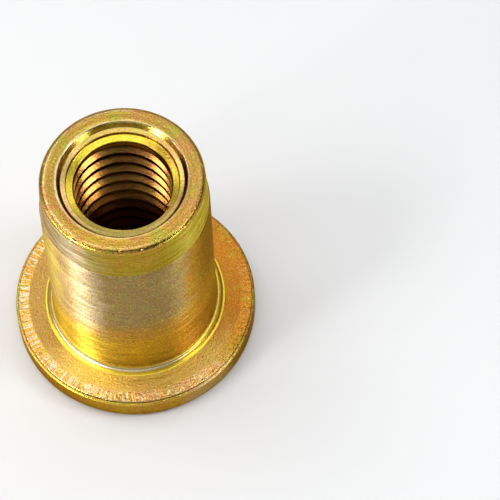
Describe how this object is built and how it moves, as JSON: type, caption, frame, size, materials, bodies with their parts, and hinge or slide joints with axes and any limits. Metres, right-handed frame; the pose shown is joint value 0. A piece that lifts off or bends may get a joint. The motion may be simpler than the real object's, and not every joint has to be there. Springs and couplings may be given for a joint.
{
  "type": "rivet nut",
  "caption": "Flat-head rivet nut with a plain round shank, tapered nose, threaded bore and thin-walled collapse chamber, in yellow-plated steel.",
  "frame": {"origin": "centre of the head face, which is the flat end that the nut stands on", "axes": "+Z along the bore axis from the head towards the tapered nose; X and Y are across the axis, and the body is round about Z"},
  "size_m": [0.013, 0.013, 0.015],
  "materials": {
    "yellow_zinc_steel": "yellow-passivated zinc plating: glossy gold with faint green and pink iridescence, finely brushed round the shank"
  },
  "bodies": {
    "root": {"rivet_nut": "yellow_zinc_steel"}
  },
  "joints": []
}
